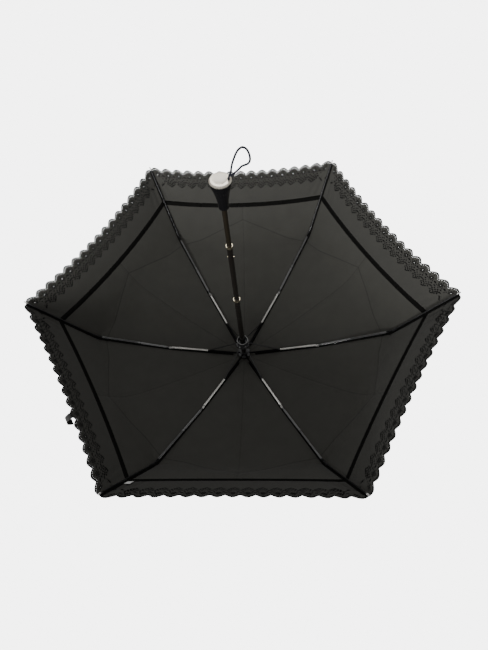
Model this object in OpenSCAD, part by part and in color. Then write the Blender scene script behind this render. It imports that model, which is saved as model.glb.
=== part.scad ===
// Folding lace parasol: six three-fold ribs, telescoping shaft, sliding runner,
// six canopy gores with a scalloped lace border, flared handle with a wrist cord.
// Millimetres, Z up, canopy at the top. The origin is the middle of the grip.

/* [Canopy and ribs] */

// Height of the crown point above the grip origin
crown_z = 530;
// [450:1:620]

// Radius of the ring wires that the ribs and stretchers turn on
hinge_r = 12;
// [10:0.5:16]

// Depth of the inner rib hinge below the crown point
hinge_drop = 4;
// [2:0.5:8]

// Radius of the hinge between inner and middle rib
joint1_r = 175;
// [150:1:200]

// Depth of the hinge between inner and middle rib
joint1_drop = 40;
// [25:1:60]

// Radius of the hinge between middle and outer rib
joint2_r = 330;
// [300:1:360]

// Depth of the hinge between middle and outer rib
joint2_drop = 100;
// [80:1:130]

// Radius of the rib tips
tip_r = 430;
// [380:1:480]

// Depth of the rib tips
tip_drop = 250;
// [180:1:280]

// Sideways distance of the hinge pins from the rib lines
hinge_off = 2.4;
// [2:0.1:3.5]

// Distance along the inner rib to the stretcher pivot
pivot_at = 74;
// [60:1:90]

// Radius at which the stretchers end, just outside the runner's ring wire
bar_r = 14.6;
// [14:0.1:18]

// Width and height of the rib channels
rib_w = 3.2;
// [2.8:0.1:4.5]

// Wall of the rib channels
rib_wall = 0.5;
// [0.4:0.1:0.8]

// Diameter of the outer rib rod
rod_d = 2.4;
// [2:0.1:3]

// Thickness of the canopy cloth as a solid
cloth_t = 0.8;
// [0.5:0.1:1.2]

// Radius at which the border is sewn to the gores
seam_r = 388;
// [370:1:400]

// Depth at which the border is sewn to the gores
seam_drop = 174;
// [160:1:190]

// How far the middle of each edge rises above the line between tips
edge_rise = 18;
// [0:1:40]

// How far the middle of each edge comes inward
edge_in = 6;
// [0:1:20]

// Scallops on each side of the border
scallops = 17;
// [9:2:21]

// Depth of one scallop
scallop_h = 8;
// [4:0.5:10]

/* [Shaft] */

// Outer diameter of the lower tube
lower_d = 8.4;
// [7:0.1:10]

// Outer diameter of the middle tube
middle_d = 10;
// [9:0.1:12]

// Outer diameter of the upper tube
upper_d = 11.6;
// [10.5:0.1:14]

// Wall of the tubes
tube_wall = 0.6;
// [0.4:0.1:0.8]

// Height of the lower rim of the middle tube
middle_z = 118;
// [90:1:140]

// Height of the lower rim of the upper tube
upper_z = 284.5;
// [240:0.5:320]

// Length of tube left inside the next one when the shaft is drawn out
overlap = 60;
// [40:1:80]

/* [Runner] */

// Depth of the stretcher pivots below the crown point
runner_drop = 56;
// [45:1:70]

// Clearance between the runner bore and the upper tube, per side
runner_gap = 0.3;
// [0.2:0.05:0.6]

// Outer radius of the runner skirt
skirt_r = 12.2;
// [10:0.1:14]

/* [Handle] */

// Radius of the metal end plate
cap_r = 16.5;
// [14:0.5:20]

// Depth of the end plate face below the origin
cap_z = 31;
// [25:1:40]

// Thickness of the end plate
cap_t = 5;
// [3:0.5:8]

// Height of the handle neck above the origin
neck_z = 27;
// [20:1:40]

// Radius of the handle neck
neck_r = 8.2;
// [6:0.1:10]

// Distance of the cord hole from the axis
hole_x = 12.5;
// [11:0.5:13]

// Diameter of the wrist cord
cord_d = 2.6;
// [2:0.1:4]

/* [Hidden] */

function ang_of(a, b) = atan2(b[1] - a[1], b[0] - a[0]);
function len_of(a, b) = norm([b[0] - a[0], b[1] - a[1]]);

h0 = [hinge_r, crown_z - hinge_drop];
h1 = [joint1_r, crown_z - joint1_drop];
h2 = [joint2_r, crown_z - joint2_drop];
h3 = [tip_r, crown_z - tip_drop];
ang_a = ang_of(h0, h1);
ang_b = ang_of(h1, h2);
ang_c = ang_of(h2, h3);
len_a = len_of(h0, h1);
len_b = len_of(h1, h2);
len_c = len_of(h2, h3);
// hinge pins sit beside the rib lines, so each line starts from its pin
function off(a, d) = [-d * sin(a), d * cos(a)];
j1 = h1 + off(ang_a, hinge_off);
b0 = j1 - off(ang_b, hinge_off);
j2 = b0 + len_b * [cos(ang_b), sin(ang_b)] - off(ang_b, hinge_off);
c0 = j2 + off(ang_c, hinge_off);
pivot_dz = -0.5;
pivot = [h0[0] + pivot_at * cos(ang_a) - pivot_dz * sin(ang_a),
         h0[1] + pivot_at * sin(ang_a) + pivot_dz * cos(ang_a)];
wire_z = crown_z - runner_drop;
ang_s = atan2(wire_z - pivot[1], bar_r - pivot[0]);
len_s = norm([bar_r - pivot[0], wire_z - pivot[1]]);
bar_in = rib_w - 2 * rib_wall;
half = rib_w / 2;

// places x along a rib line that starts at p in the plane of rib k
module along(k, p, a) {
  rotate([0, 0, 60 * k])
    translate([p[0], 0, p[1]])
      rotate([0, -a, 0])
        children();
}

// pin along y
module cross_pin(x, z, d, w) {
  translate([x, 0, z])
    rotate([90, 0, 0])
      cylinder(h = w, d = d, center = true, $fn = 24);
}

// plate in the rib plane, from y0, of thickness t
module plate(x0, x1, z0, z1, y0, t) {
  translate([x0, y0, z0])
    cube([x1 - x0, t, z1 - z0]);
}

// channel open downward
module channel(x0, x1, w, up, down) {
  difference() {
    plate(x0, x1, down, up, -w / 2, w);
    plate(x0 - 1, x1 + 1, down - 1, up - rib_wall, -w / 2 + rib_wall, w - 2 * rib_wall);
  }
}

// inner rib: steel channel from the crown to the first hinge
module inner_rib(k) {
  color([0.62, 0.62, 0.6])
    along(k, h0, ang_a)
      difference() {
        union() {
          channel(0, len_a - 6, rib_w, half, -half);
          cross_pin(0, 0, 4.4, rib_w);
          plate(len_a - 6.5, len_a, 0.6, hinge_off + 0.6, -half, rib_wall);
          plate(len_a - 6.5, len_a, 0.6, hinge_off + 0.6, half - rib_wall, rib_wall);
          translate([len_a, 0, hinge_off])
            rotate([90, 0, 0])
              cylinder(h = rib_w, r = 1.8, center = true, $fn = 32);
          cross_pin(pivot_at, pivot_dz, 2, rib_w + 0.6);
        }
        cross_pin(0, 0, 2.6, rib_w + 2);
        plate(2.4, len_a - 7, -half - 1, half - rib_wall, -bar_in / 2, bar_in);
        plate(len_a - 8, len_a + 4, -3, hinge_off + 4, -bar_in / 2, bar_in);
      }
  color([0.62, 0.62, 0.6])
    along(k, h0, ang_a)
      cross_pin(pivot_at, pivot_dz, 1, rib_w);
  color([0.62, 0.62, 0.6])
    along(k, h0, ang_a)
      cross_pin(len_a, hinge_off, 1.2, rib_w);
}

// stretcher: flat bar from the inner rib pivot to the runner
module stretcher(k) {
  color([0.3, 0.3, 0.3])
    along(k, pivot, ang_s)
      difference() {
        union() {
          plate(0, len_s, -1, 1, -0.8, 1.6);
          cross_pin(0, 0, 2.6, 1.6);
        }
        cross_pin(0, 0, 1.5, 3);
      }
}

// middle rib: narrow tongue, then a wider channel with a fork at its end
module middle_rib(k) {
  color([0.5, 0.5, 0.5])
    along(k, b0, ang_b)
      difference() {
        union() {
          plate(-1.2, 12, 0.2, 2.2 + hinge_off - 2.4, -0.8, 1.6);
          translate([0, 0, hinge_off])
            rotate([90, 0, 0])
              cylinder(h = 1.6, r = 1.6, center = true, $fn = 32);
          plate(1, 6, 0.2, hinge_off + 1, -0.8, 1.6);
          plate(5, 72, -1.2, 1.2, -0.8, 1.6);
          channel(70, len_b - 6, rib_w, half, -half);
          plate(70, 76, -1.4, 1.4, -1.5, 3);
          plate(len_b - 6.5, len_b, -hinge_off - 0.6, 0.6, -half, rib_wall);
          plate(len_b - 6.5, len_b, -hinge_off - 0.6, 0.6, half - rib_wall, rib_wall);
          translate([len_b, 0, -hinge_off])
            rotate([90, 0, 0])
              cylinder(h = rib_w, r = 1.8, center = true, $fn = 32);
          cross_pin(73, 0, 1.8, rib_w + 2.2);
        }
        cross_pin(0, hinge_off, 1.7, 4);
        plate(len_b - 9, len_b + 4, -hinge_off - 4, 4, -bar_in / 2, bar_in);
      }
  color([0.5, 0.5, 0.5])
    along(k, b0, ang_b)
      cross_pin(len_b, -hinge_off, 1.2, rib_w);
}

// pair of spring wires beside the tongue of the middle rib
module link_wires(k) {
  color([0.75, 0.75, 0.74])
    along(k, b0, ang_b) {
      translate([8, 1.5, 0])
        rotate([0, 90, 0])
          cylinder(h = 60, d = 1.1, $fn = 16);
      translate([8, -1.5, 0])
        rotate([0, 90, 0])
          cylinder(h = 60, d = 1.1, $fn = 16);
    }
}

// outer rib: black plastic knuckle and round rod
module outer_rib(k) {
  color([0.05, 0.05, 0.05])
    along(k, c0, ang_c)
      difference() {
        union() {
          translate([0, 0, -hinge_off])
            rotate([90, 0, 0])
              cylinder(h = 1.6, r = 1.6, center = true, $fn = 32);
          plate(-0.6, 4.6, -hinge_off - 0.4, 1.1, -0.8, 1.6);
          translate([4, 0, 0])
            rotate([0, 90, 0])
              cylinder(h = 12, d = 4, $fn = 32);
          translate([15, 0, 0])
            rotate([0, 90, 0])
              cylinder(h = len_c - 21, d = rod_d, $fn = 24);
        }
        cross_pin(0, -hinge_off, 1.7, 4);
      }
}

// metal tip cap that the canopy corner is sewn to
module rib_tip(k) {
  color([0.7, 0.69, 0.66])
    along(k, c0, ang_c)
      translate([len_c - 6, 0, 0])
        rotate([0, 90, 0])
          rotate_extrude($fn = 32)
            polygon([[0, 0.05], [1.75, 0.05], [1.75, 4], [1.2, 5], [1.2, 6], [1.6, 7], [0.9, 8], [0, 8.2]]);
}

// outline of the canopy over a rib: radius and height at station u
prof = [[8.5, 3.2], [joint1_r, 6 - joint1_drop], [joint2_r + 3, 8 - joint2_drop],
        [seam_r, -seam_drop], [tip_r + 3, 7 - tip_drop]];
function over(u) = let (i = min(3, floor(u)), f = u - i)
  [prof[i][0] * (1 - f) + prof[i + 1][0] * f,
   crown_z + prof[i][1] * (1 - f) + prof[i + 1][1] * f];
function bulge(r) = pow(r / (tip_r + 3), 3);
// point of the canopy between rib k and the next, v from 0 to 1 across
function cloth(k, u, v, out, up) = let (
    q = over(u),
    r = q[0] + out * 0.55,
    w = 4 * v * (1 - v) * bulge(q[0]),
    x = (r - edge_in * w) * ((1 - v) * cos(60 * k) + v * cos(60 * k + 60)),
    y = (r - edge_in * w) * ((1 - v) * sin(60 * k) + v * sin(60 * k + 60)))
  [x, y, q[1] - out * 0.83 + edge_rise * w + up];

us = [0, 0.12, 0.35, 0.6, 0.85, 1, 1.25, 1.5, 1.75, 2, 2.33, 2.66, 2.998];
nv = 12;
function vin(k, u, j) = let (e = 0.35 / over(u)[0]) e + (1 - 2 * e) * j / nv;

// one gore of cloth, from the crown to the border seam
module gore(k) {
  nu = len(us);
  pts = [for (s = [0, 1]) for (i = [0:nu - 1]) for (j = [0:nv])
         cloth(k, us[i], vin(k, us[i], j), 0, s * cloth_t)];
  n = nu * (nv + 1);
  m = nv + 1;
  lower = [for (i = [0:nu - 2]) for (j = [0:nv - 1]) for (t = [0, 1])
           t == 0 ? [i * m + j, i * m + j + 1, (i + 1) * m + j]
                  : [i * m + j + 1, (i + 1) * m + j + 1, (i + 1) * m + j]];
  upper = [for (f = lower) [n + f[0], n + f[2], n + f[1]]];
  rim = concat([for (j = [0:nv]) j],
               [for (i = [1:nu - 1]) i * m + nv],
               [for (j = [1:nv]) (nu - 1) * m + nv - j],
               [for (i = [1:nu - 2]) (nu - 1 - i) * m]);
  c = len(rim);
  side = [for (i = [0:c - 1]) for (t = [0, 1]) let (a = rim[i], b = rim[(i + 1) % c])
          t == 0 ? [b, a, a + n] : [b, a + n, b + n]];
  color([0.14, 0.14, 0.13])
    polyhedron(pts, concat(lower, upper, side), convexity = 4);
}

// lace border: one closed band below the seam, scalloped along its edge
module lace_border() {
  per = 4;
  cols = 6 * scallops * per;
  rows = [0, 0.5, 1];
  pts = [for (s = [0, 1]) for (i = [0:2]) for (c = [0:cols - 1])
         let (k = floor(c / (scallops * per)),
              v = (c - k * scallops * per) / (scallops * per),
              ph = (c % per) / per,
              dip = i == 2 ? scallop_h * abs(sin(180 * ph)) : 0)
         cloth(k, 3.003 + 0.987 * rows[i], v, dip, s * cloth_t)];
  n = 3 * cols;
  lower = [for (i = [0, 1]) for (c = [0:cols - 1]) for (t = [0, 1])
           let (a = i * cols + c, b = i * cols + (c + 1) % cols)
           t == 0 ? [a, b, a + cols] : [b, b + cols, a + cols]];
  upper = [for (f = lower) [n + f[0], n + f[2], n + f[1]]];
  inner = [for (c = [0:cols - 1]) for (t = [0, 1]) let (a = c, b = (c + 1) % cols)
           t == 0 ? [b, a, a + n] : [b, a + n, b + n]];
  outer = [for (c = [0:cols - 1]) for (t = [0, 1])
           let (a = 2 * cols + c, b = 2 * cols + (c + 1) % cols)
           t == 0 ? [a, b, a + n] : [b, b + n, a + n]];
  color([0.1, 0.1, 0.09])
    polyhedron(pts, concat(lower, upper, inner, outer), convexity = 6);
}

// tie strap: loop of ribbon sewn to the outside of the border
module tie_strap() {
  color([0.1, 0.1, 0.1])
    rotate([0, 0, 330])
      translate([375.7, -50, crown_z - 210.2])
        rotate([90, 28, 0])
          linear_extrude(height = 12, center = true)
            difference() {
              circle(r = 14, $fn = 48);
              circle(r = 13, $fn = 48);
              translate([-40, -20])
                square([40, 40]);
            }
}

// thinnest tube, fixed in the handle
module lower_tube() {
  color([0.16, 0.12, 0.08])
    difference() {
      translate([0, 0, -12])
        cylinder(h = 12 + middle_z + overlap, d = lower_d, $fn = 48);
      translate([0, 0, -13])
        cylinder(h = 14 + middle_z + overlap, d = lower_d - 2 * tube_wall, $fn = 48);
    }
}

// middle tube with two round holes for its stop rivets
module middle_tube() {
  color([0.1, 0.09, 0.08])
    difference() {
      translate([0, 0, middle_z])
        cylinder(h = upper_z + overlap - middle_z, d = middle_d, $fn = 48);
      translate([0, 0, middle_z - 1])
        cylinder(h = upper_z + overlap - middle_z + 2, d = middle_d - 2 * tube_wall, $fn = 48);
      translate([0, 0, middle_z + 30.5])
        rotate([0, 90, 0])
          cylinder(h = 20, d = 2, center = true, $fn = 24);
    }
}

// two stop rivets set in the wall of the middle tube
module stop_rivets() {
  color([0.8, 0.78, 0.72])
    difference() {
      translate([0, 0, middle_z + 30.5])
        rotate([0, 90, 0])
          cylinder(h = middle_d + 1.2, d = 2, center = true, $fn = 24);
      translate([0, 0, middle_z + 20])
        cylinder(h = 20, d = middle_d - 2 * tube_wall, $fn = 48);
    }
}

// thickest tube, fixed in the crown
module upper_tube() {
  color([0.08, 0.08, 0.08])
    difference() {
      translate([0, 0, upper_z])
        cylinder(h = crown_z - 4 - upper_z, d = upper_d, $fn = 48);
      translate([0, 0, upper_z - 1])
        cylinder(h = crown_z - 2 - upper_z, d = upper_d - 2 * tube_wall, $fn = 48);
    }
}

// pale rim around the lower end of the middle tube
module collar_lower() {
  color([0.78, 0.74, 0.62])
    difference() {
      translate([0, 0, middle_z])
        cylinder(h = 5, d = middle_d + 1.8, $fn = 48);
      translate([0, 0, middle_z - 1])
        cylinder(h = 7, d = middle_d, $fn = 48);
    }
}

// pale rim around the lower end of the upper tube
module collar_upper() {
  color([0.78, 0.74, 0.62])
    difference() {
      translate([0, 0, upper_z])
        cylinder(h = 5, d = upper_d + 2, $fn = 48);
      translate([0, 0, upper_z - 1])
        cylinder(h = 7, d = upper_d, $fn = 48);
    }
}

// six slots for the ribs or stretchers
module slots(z0, h, r0) {
  for (k = [0:5])
    rotate([0, 0, 60 * k])
      translate([r0, -2, z0])
        cube([20, 4, h]);
}

// ring wire as a solid of the given wire radius
module ring(z, r) {
  translate([0, 0, z])
    rotate_extrude($fn = 72)
      translate([hinge_r, 0])
        circle(r = r, $fn = 20);
}

// runner: sleeve with a skirt toward the handle and a slotted flange
module runner() {
  color([0.06, 0.06, 0.06])
    difference() {
      union() {
        translate([0, 0, crown_z - 72])
          cylinder(h = 30, r = 8, $fn = 64);
        translate([0, 0, crown_z - 72])
          cylinder(h = 12, r = skirt_r, $fn = 64);
        translate([0, 0, wire_z - 3.5])
          cylinder(h = 6.5, r = 15.6, $fn = 64);
      }
      translate([0, 0, crown_z - 73])
        cylinder(h = 40, r = upper_d / 2 + runner_gap, $fn = 64);
      translate([0, 0, crown_z - 73])
        cylinder(h = 10, r = skirt_r - 1.2, $fn = 64);
      slots(wire_z - 5, 12, 8.4);
      ring(wire_z, 0.75);
    }
}

// ring wire in the runner flange
module runner_wire() {
  color([0.7, 0.7, 0.7])
    ring(wire_z, 0.7);
}

// crown: slotted block on the end of the upper tube
module crown() {
  color([0.06, 0.06, 0.06])
    difference() {
      union() {
        translate([0, 0, crown_z - 14])
          cylinder(h = 15.5, r = 8.2, $fn = 64);
        translate([0, 0, crown_z - 7.5])
          cylinder(h = 7, r = 14.2, $fn = 64);
      }
      translate([0, 0, crown_z - 15])
        cylinder(h = 11, d = upper_d, $fn = 64);
      translate([0, 0, crown_z - 5])
        cylinder(h = 10, d = 4, $fn = 32);
      slots(crown_z - 9, 12, 8.6);
      ring(crown_z - hinge_drop, 0.75);
    }
}

// ring wire in the crown
module crown_wire() {
  color([0.7, 0.7, 0.7])
    ring(crown_z - hinge_drop, 0.7);
}

// cap that clamps the canopy on the crown
module top_cap() {
  color([0.05, 0.05, 0.05])
    translate([0, 0, crown_z])
      rotate_extrude($fn = 64)
        polygon([[0, -3.5], [2, -3.5], [2, 4.6], [12, 4.6], [12, 5.6], [10, 7.5],
                 [5, 9], [4.2, 12], [4.2, 17], [3, 18.6], [0, 19]]);
}

// outline of the grip from the end plate up: a short bulge, then a waist
function grip_r(f) = neck_r + (cap_r - 0.7 - neck_r) * (0.5 + 0.5 * cos(180 * pow(f, 0.75)))
  + 0.5 * sin(180 * min(1, 3 * f));

// flared grip
module handle_body() {
  color([0.02, 0.02, 0.02])
    difference() {
      rotate_extrude($fn = 96)
        polygon(concat([[0, cap_t - cap_z]],
                       [for (i = [0:40]) let (f = i / 40)
                        [grip_r(f), cap_t - cap_z + f * (neck_z - 1 + cap_z - cap_t)]],
                       [[neck_r - 0.4, neck_z - 0.3], [neck_r - 1, neck_z], [0, neck_z]]));
      translate([0, 0, -12])
        cylinder(h = 50, d = lower_d, $fn = 64);
    }
}

// metal end plate with a bevelled rim and a small hole for the cord
module handle_cap() {
  color([0.82, 0.8, 0.75])
    difference() {
      rotate_extrude($fn = 96)
        polygon([[0, -cap_z], [10, -cap_z], [10.6, 0.6 - cap_z], [14.5, 0.9 - cap_z],
                 [cap_r, 2.6 - cap_z], [cap_r, cap_t - 1 - cap_z], [15.8, cap_t - cap_z],
                 [0, cap_t - cap_z]]);
      translate([-hole_x, 0, -cap_z - 1])
        cylinder(h = 4.5, d = 5.6, $fn = 32);
    }
}

// knot of the cord in its hole
module cord_knot() {
  color([0.03, 0.03, 0.05])
    translate([-hole_x, 0, 1.4 - cap_z])
      sphere(r = 2.1, $fn = 32);
}

// hand-laid route of the cord: out of its hole, down, round and back
route = [
  [-12.5, -1.5, -1], [-13.5, -1.6, -5], [-15.5, -1.6, -9.5], [-17, -1.5, -14],
  [-18, -1.2, -20], [-20, -1, -28], [-23, -0.5, -36], [-26, 0, -43],
  [-30, 0, -49.5], [-35, 0, -53], [-40, 0, -50.5], [-43, 0, -44.5],
  [-44.5, 0, -37], [-44, 0, -29.5], [-41, 0.5, -24.5], [-36.5, 0.8, -22],
  [-32, 1.2, -19.5], [-28.5, 1.6, -15], [-24.5, 2, -10.5], [-20, 2.2, -6],
  [-15.5, 1.8, -2.5]];
rp = [for (q = route) [q[0], q[1], q[2] - cap_z]];
function cr(p0, p1, p2, p3, t) = 0.5 * (2 * p1 + (p2 - p0) * t
  + (2 * p0 - 5 * p1 + 4 * p2 - p3) * t * t + (3 * p1 - p0 - 3 * p2 + p3) * t * t * t);
cn = len(rp);
sub = 3;
path = [for (i = [0:cn - 2]) for (s = [0:sub - 1])
        cr(rp[max(i - 1, 0)], rp[i], rp[i + 1], rp[min(i + 2, cn - 1)], s / sub)];
full = concat(path, [rp[cn - 1]]);
function unit(v) = v / norm(v);

// wrist cord: a plain round tube along its route
module wrist_cord() {
  m = len(full);
  s = 8;
  pts = [for (i = [0:m - 1]) let (
           t = unit(full[min(i + 1, m - 1)] - full[max(i - 1, 0)]),
           a = unit(cross(t, [0.02, 1, 0.02])),
           b = cross(t, a))
         for (j = [0:s - 1]) full[i] + cord_d / 2 * (cos(360 * j / s) * a + sin(360 * j / s) * b)];
  skin = [for (i = [0:m - 2]) for (j = [0:s - 1]) for (q = [0, 1])
          let (a = i * s + j, b = i * s + (j + 1) % s)
          q == 0 ? [a, b, b + s] : [a, b + s, a + s]];
  ends = [[for (j = [0:s - 1]) s - 1 - j], [for (j = [0:s - 1]) (m - 1) * s + j]];
  color([0.03, 0.03, 0.05])
    polyhedron(pts, concat(skin, ends), convexity = 6);
}

module inner_rib_1() {
  inner_rib(1);
}

module inner_rib_2() {
  inner_rib(2);
}

module inner_rib_3() {
  inner_rib(3);
}

module inner_rib_4() {
  inner_rib(4);
}

module inner_rib_5() {
  inner_rib(5);
}

module inner_rib_6() {
  inner_rib(6);
}

module stretcher_1() {
  stretcher(1);
}

module stretcher_2() {
  stretcher(2);
}

module stretcher_3() {
  stretcher(3);
}

module stretcher_4() {
  stretcher(4);
}

module stretcher_5() {
  stretcher(5);
}

module stretcher_6() {
  stretcher(6);
}

module middle_rib_1() {
  middle_rib(1);
}

module middle_rib_2() {
  middle_rib(2);
}

module middle_rib_3() {
  middle_rib(3);
}

module middle_rib_4() {
  middle_rib(4);
}

module middle_rib_5() {
  middle_rib(5);
}

module middle_rib_6() {
  middle_rib(6);
}

module link_wires_1() {
  link_wires(1);
}

module link_wires_2() {
  link_wires(2);
}

module link_wires_3() {
  link_wires(3);
}

module link_wires_4() {
  link_wires(4);
}

module link_wires_5() {
  link_wires(5);
}

module link_wires_6() {
  link_wires(6);
}

module outer_rib_1() {
  outer_rib(1);
}

module outer_rib_2() {
  outer_rib(2);
}

module outer_rib_3() {
  outer_rib(3);
}

module outer_rib_4() {
  outer_rib(4);
}

module outer_rib_5() {
  outer_rib(5);
}

module outer_rib_6() {
  outer_rib(6);
}

module rib_tip_1() {
  rib_tip(1);
}

module rib_tip_2() {
  rib_tip(2);
}

module rib_tip_3() {
  rib_tip(3);
}

module rib_tip_4() {
  rib_tip(4);
}

module rib_tip_5() {
  rib_tip(5);
}

module rib_tip_6() {
  rib_tip(6);
}

module gore_1() {
  gore(1);
}

module gore_2() {
  gore(2);
}

module gore_3() {
  gore(3);
}

module gore_4() {
  gore(4);
}

module gore_5() {
  gore(5);
}

module gore_6() {
  gore(6);
}

handle_body();
handle_cap();
lower_tube();
middle_tube();
collar_lower();
stop_rivets();
upper_tube();
collar_upper();
crown();
crown_wire();
top_cap();
runner();
runner_wire();
inner_rib_1();
inner_rib_2();
inner_rib_3();
inner_rib_4();
inner_rib_5();
inner_rib_6();
stretcher_1();
stretcher_2();
stretcher_3();
stretcher_4();
stretcher_5();
stretcher_6();
middle_rib_1();
middle_rib_2();
middle_rib_3();
middle_rib_4();
middle_rib_5();
middle_rib_6();
link_wires_1();
link_wires_2();
link_wires_3();
link_wires_4();
link_wires_5();
link_wires_6();
outer_rib_1();
outer_rib_2();
outer_rib_3();
outer_rib_4();
outer_rib_5();
outer_rib_6();
rib_tip_1();
rib_tip_2();
rib_tip_3();
rib_tip_4();
rib_tip_5();
rib_tip_6();
gore_1();
gore_2();
gore_3();
gore_4();
gore_5();
gore_6();
lace_border();
tie_strap();
cord_knot();
wrist_cord();
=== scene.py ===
import math

import bmesh
import bpy
import numpy as np
from mathutils import Matrix, Vector
from mathutils.geometry import delaunay_2d_cdt


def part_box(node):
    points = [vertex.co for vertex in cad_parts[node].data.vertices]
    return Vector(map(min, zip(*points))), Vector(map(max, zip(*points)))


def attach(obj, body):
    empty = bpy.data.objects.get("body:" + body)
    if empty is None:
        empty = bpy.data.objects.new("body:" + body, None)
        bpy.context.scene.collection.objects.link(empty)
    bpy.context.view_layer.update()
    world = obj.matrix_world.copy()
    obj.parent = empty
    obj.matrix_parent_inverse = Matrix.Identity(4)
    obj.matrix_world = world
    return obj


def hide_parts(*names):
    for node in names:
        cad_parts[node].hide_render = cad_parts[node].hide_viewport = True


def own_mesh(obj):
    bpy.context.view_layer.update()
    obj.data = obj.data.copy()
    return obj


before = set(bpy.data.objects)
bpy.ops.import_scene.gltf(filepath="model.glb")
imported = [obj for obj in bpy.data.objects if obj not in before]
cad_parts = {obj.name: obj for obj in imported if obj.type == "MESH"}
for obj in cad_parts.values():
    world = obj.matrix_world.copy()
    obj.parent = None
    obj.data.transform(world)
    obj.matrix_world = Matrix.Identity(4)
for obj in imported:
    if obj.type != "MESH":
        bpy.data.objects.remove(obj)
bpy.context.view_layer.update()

# Camera, floor and light. The parasol is held open above the lens, with its
# handle towards the lens, so the view is from below the canopy.
bpy.ops.object.select_all(action="DESELECT")
cap_overlap = 0.0035
crown_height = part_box("top_cap")[0].z + cap_overlap
view_right = Vector((-0.99794, 0.01452, 0.06245))
view_up = Vector((-0.01833, 0.86879, -0.49484))
view_back = view_right.cross(view_up)
camera_data = bpy.data.cameras.new("camera")
camera = bpy.data.objects.new("camera", camera_data)
bpy.context.collection.objects.link(camera)
camera_turn = Matrix((view_right, view_up, view_back)).transposed().to_4x4()
camera_place = Vector((-0.0725, -0.5196, crown_height - 1.0504))
camera.matrix_world = Matrix.Translation(camera_place) @ camera_turn
camera_data.lens = 26.75
camera_data.sensor_width = 36
bpy.context.scene.camera = camera


def set_stage(piece, name, finish_name, colour, roughness, glow):
    """Names a stage piece and lets it shine at the camera only, so that it doesn't light the parasol."""
    piece.name = name
    finish = bpy.data.materials.new(finish_name)
    finish.use_nodes = True
    shader = finish.node_tree.nodes["Principled BSDF"]
    shader.inputs["Base Color"].default_value = colour
    shader.inputs["Roughness"].default_value = roughness
    shader.inputs["Emission Color"].default_value = (1, 1, 1, 1)
    shader.inputs["Emission Strength"].default_value = glow
    piece.data.materials.append(finish)
    piece.visible_diffuse = False
    piece.visible_glossy = False
    piece.visible_transmission = False
    piece.visible_shadow = False


floor_drop = 1.75
bpy.ops.mesh.primitive_plane_add(size=30, location=(0, 0, crown_height - floor_drop))
set_stage(bpy.context.object, "floor", "floor_finish", (0.86, 0.86, 0.85, 1), 0.9, 1.1)
bpy.ops.object.select_all(action="DESELECT")
bpy.ops.mesh.primitive_uv_sphere_add(segments=48, ring_count=24, radius=14)
bpy.ops.object.shade_smooth()
set_stage(bpy.context.object, "backdrop", "white_backdrop", (1, 1, 1, 1), 0.5, 5)

studio = bpy.data.worlds.new("studio")
bpy.context.scene.world = studio
studio.use_nodes = True
studio.node_tree.nodes["Background"].inputs["Color"].default_value = (1, 1, 1, 1)
studio.node_tree.nodes["Background"].inputs["Strength"].default_value = 0.47


def softbox(name, place, target, width, power):
    """A square soft light that looks at target."""
    data = bpy.data.lights.new(name, "AREA")
    data.size = width
    data.energy = power
    lamp = bpy.data.objects.new(name, data)
    bpy.context.collection.objects.link(lamp)
    lamp.location = place
    lamp.rotation_euler = (Vector(target) - Vector(place)).to_track_quat("-Z", "Y").to_euler()
    lamp.visible_camera = False


softbox("front_softbox", (0.5, -1.9, -0.1), (0, 0.2, 0.4), 0.9, 62)
softbox("side_softbox", (1.6, -0.4, 0.2), (0, 0, 0.3), 0.8, 10)
softbox("plate_softbox", (0.1, 0.72, -0.82), (0, 0, -0.03), 0.4, 1.6)
softbox("top_softbox", (-1.2, 1.0, 2.6), (0, 0, 0.4), 1.6, 24)

# Wrist cord: one limp twisted cord. It comes out of the hole in the end plate,
# hangs as a loop below the grip and goes back into the same hole. The route is
# in mm.
cord_radius = 0.0016
cord_route = [
    (-12.5, -1.5, -32), (-13.5, -1.6, -36), (-15.5, -1.6, -40.5), (-17, -1.5, -45), (-18, -1.2, -51),
    (-20, -1, -59), (-23, -0.5, -67), (-26, 0, -74), (-30, 0, -80.5), (-35, 0, -84),
    (-40, 0, -81.5), (-43, 0, -75.5), (-44.5, 0, -68), (-44, 0, -60.5), (-41, 0.5, -55.5),
    (-36.5, 0.8, -53), (-32, 1.2, -50.5), (-28.5, 1.6, -46), (-24.5, 2, -41.5), (-20, 2.2, -37),
    (-15.5, 1.8, -33.5),
]


def smooth_line(points, steps):
    """Points, in metres, of one smooth curve through points given in mm."""
    knots = np.array(points, float) / 1000
    line = []
    for i in range(len(knots) - 1):
        before, here = knots[max(i - 1, 0)], knots[i]
        there, after = knots[i + 1], knots[min(i + 2, len(knots) - 1)]
        for t in np.arange(steps) / steps:
            line.append(0.5 * (2 * here + (there - before) * t
                               + (2 * before - 5 * here + 4 * there - after) * t * t
                               + (3 * here - before - 3 * there + after) * t ** 3))
    return np.array(line + [knots[-1]])


def new_piece(name, points, faces, places=None):
    """A mesh object with smooth faces, and a UV map where places gives one."""
    mesh = bpy.data.meshes.new(name)
    mesh.from_pydata(np.asarray(points, float).tolist(), [], [list(map(int, f)) for f in faces])
    mesh.validate()
    piece = bpy.data.objects.new(name, mesh)
    bpy.context.collection.objects.link(piece)
    mesh.polygons.foreach_set("use_smooth", [True] * len(mesh.polygons))
    if places is not None:
        layer = mesh.uv_layers.new(name="flat")
        corner = np.empty(len(mesh.loops), int)
        mesh.loops.foreach_get("vertex_index", corner)
        layer.data.foreach_set("uv", np.asarray(places, float)[corner].ravel())
    return piece


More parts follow.
